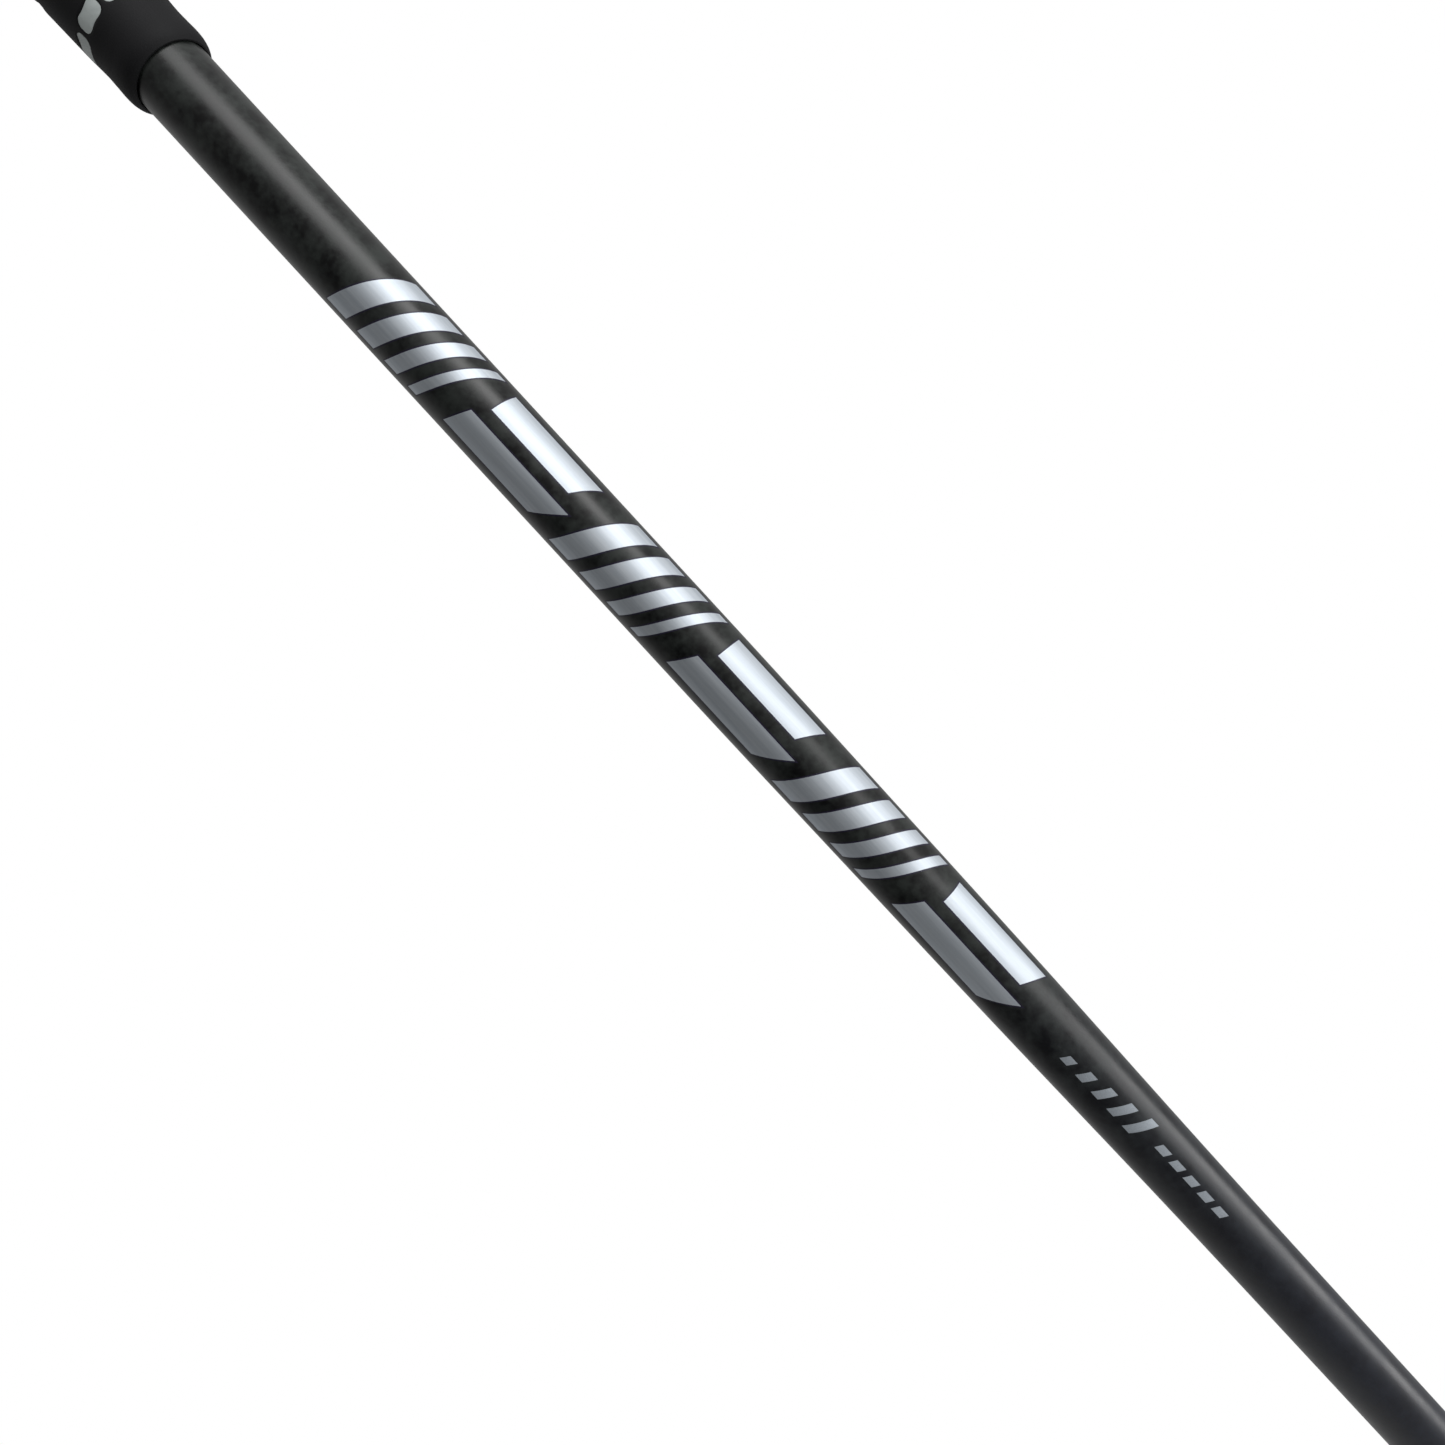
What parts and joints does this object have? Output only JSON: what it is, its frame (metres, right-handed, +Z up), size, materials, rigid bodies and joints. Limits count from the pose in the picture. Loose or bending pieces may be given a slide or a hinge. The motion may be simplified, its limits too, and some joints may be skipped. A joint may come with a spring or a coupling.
{
  "type": "golf driver",
  "caption": "Right-handed golf driver with a rubber grip, a tapered carbon shaft and a hollow head that draws off its adapter sleeve.",
  "frame": {"origin": "middle of the flat pad under the sole, on the ground at address", "axes": "+Z up; the face looks along -Y, towards the target; -X is the toe, and the shaft rises towards +X at the lie angle of 58 degrees"},
  "size_m": [0.7165, 0.1117, 0.9864],
  "materials": {
    "shaft_carbon": "satin",
    "grip_rubber": "matte",
    "grip_tape": "matte",
    "plug_plastic": "matte",
    "ferrule_plastic": "gloss",
    "trim_aluminium": "polished",
    "sleeve_aluminium": "satin",
    "head_titanium": "satin",
    "face_titanium": "satin",
    "crown_carbon": "gloss",
    "sole_carbon": "gloss",
    "badge_aluminium": "satin",
    "weight_tungsten": "satin",
    "washer_aluminium": "satin",
    "retainer_nylon": "matte",
    "screw_steel": "satin"
  },
  "bodies": {
    "club_shaft": {"shaft": "shaft_carbon", "grip_sleeve": "grip_rubber", "grip_cap": "grip_rubber", "grip_tape": "grip_tape", "shaft_tip_plug": "plug_plastic", "ferrule": "ferrule_plastic", "ferrule_trim_ring": "trim_aluminium", "hosel_sleeve": "sleeve_aluminium"},
    "head": {"head_chassis": "head_titanium", "face_plate": "face_titanium", "crown_panel": "crown_carbon", "toe_sole_panel": "sole_carbon", "heel_sole_panel": "sole_carbon", "sole_badge": "badge_aluminium", "rear_weight": "weight_tungsten", "front_weight": "weight_tungsten", "hosel_screw_washer": "washer_aluminium", "hosel_screw_retainer": "retainer_nylon"},
    "hosel_bolt": {"hosel_screw": "screw_steel"},
    "rear_bolt": {"rear_weight_screw": "screw_steel"},
    "front_bolt": {"front_weight_screw": "screw_steel"}
  },
  "joints": [
    {"name": "head_release", "type": "slide", "parent": "club_shaft", "child": "head", "axis": [-0.5299, 0, -0.848], "range_m": [0, 0.045]},
    {"name": "hosel_screw_turn", "type": "hinge", "parent": "head", "child": "hosel_bolt", "pos_m": [0.04772, -0.016, 0.02035], "axis": [-0.5299, 0, -0.848], "continuous": true},
    {"name": "rear_screw_turn", "type": "hinge", "parent": "head", "child": "rear_bolt", "pos_m": [0, 0.057, 0.00788], "axis": [0, 0.3269, -0.9451], "continuous": true},
    {"name": "front_screw_turn", "type": "hinge", "parent": "head", "child": "front_bolt", "pos_m": [0, -0.0205, 0], "axis": [0, 0, -1], "continuous": true}
  ]
}
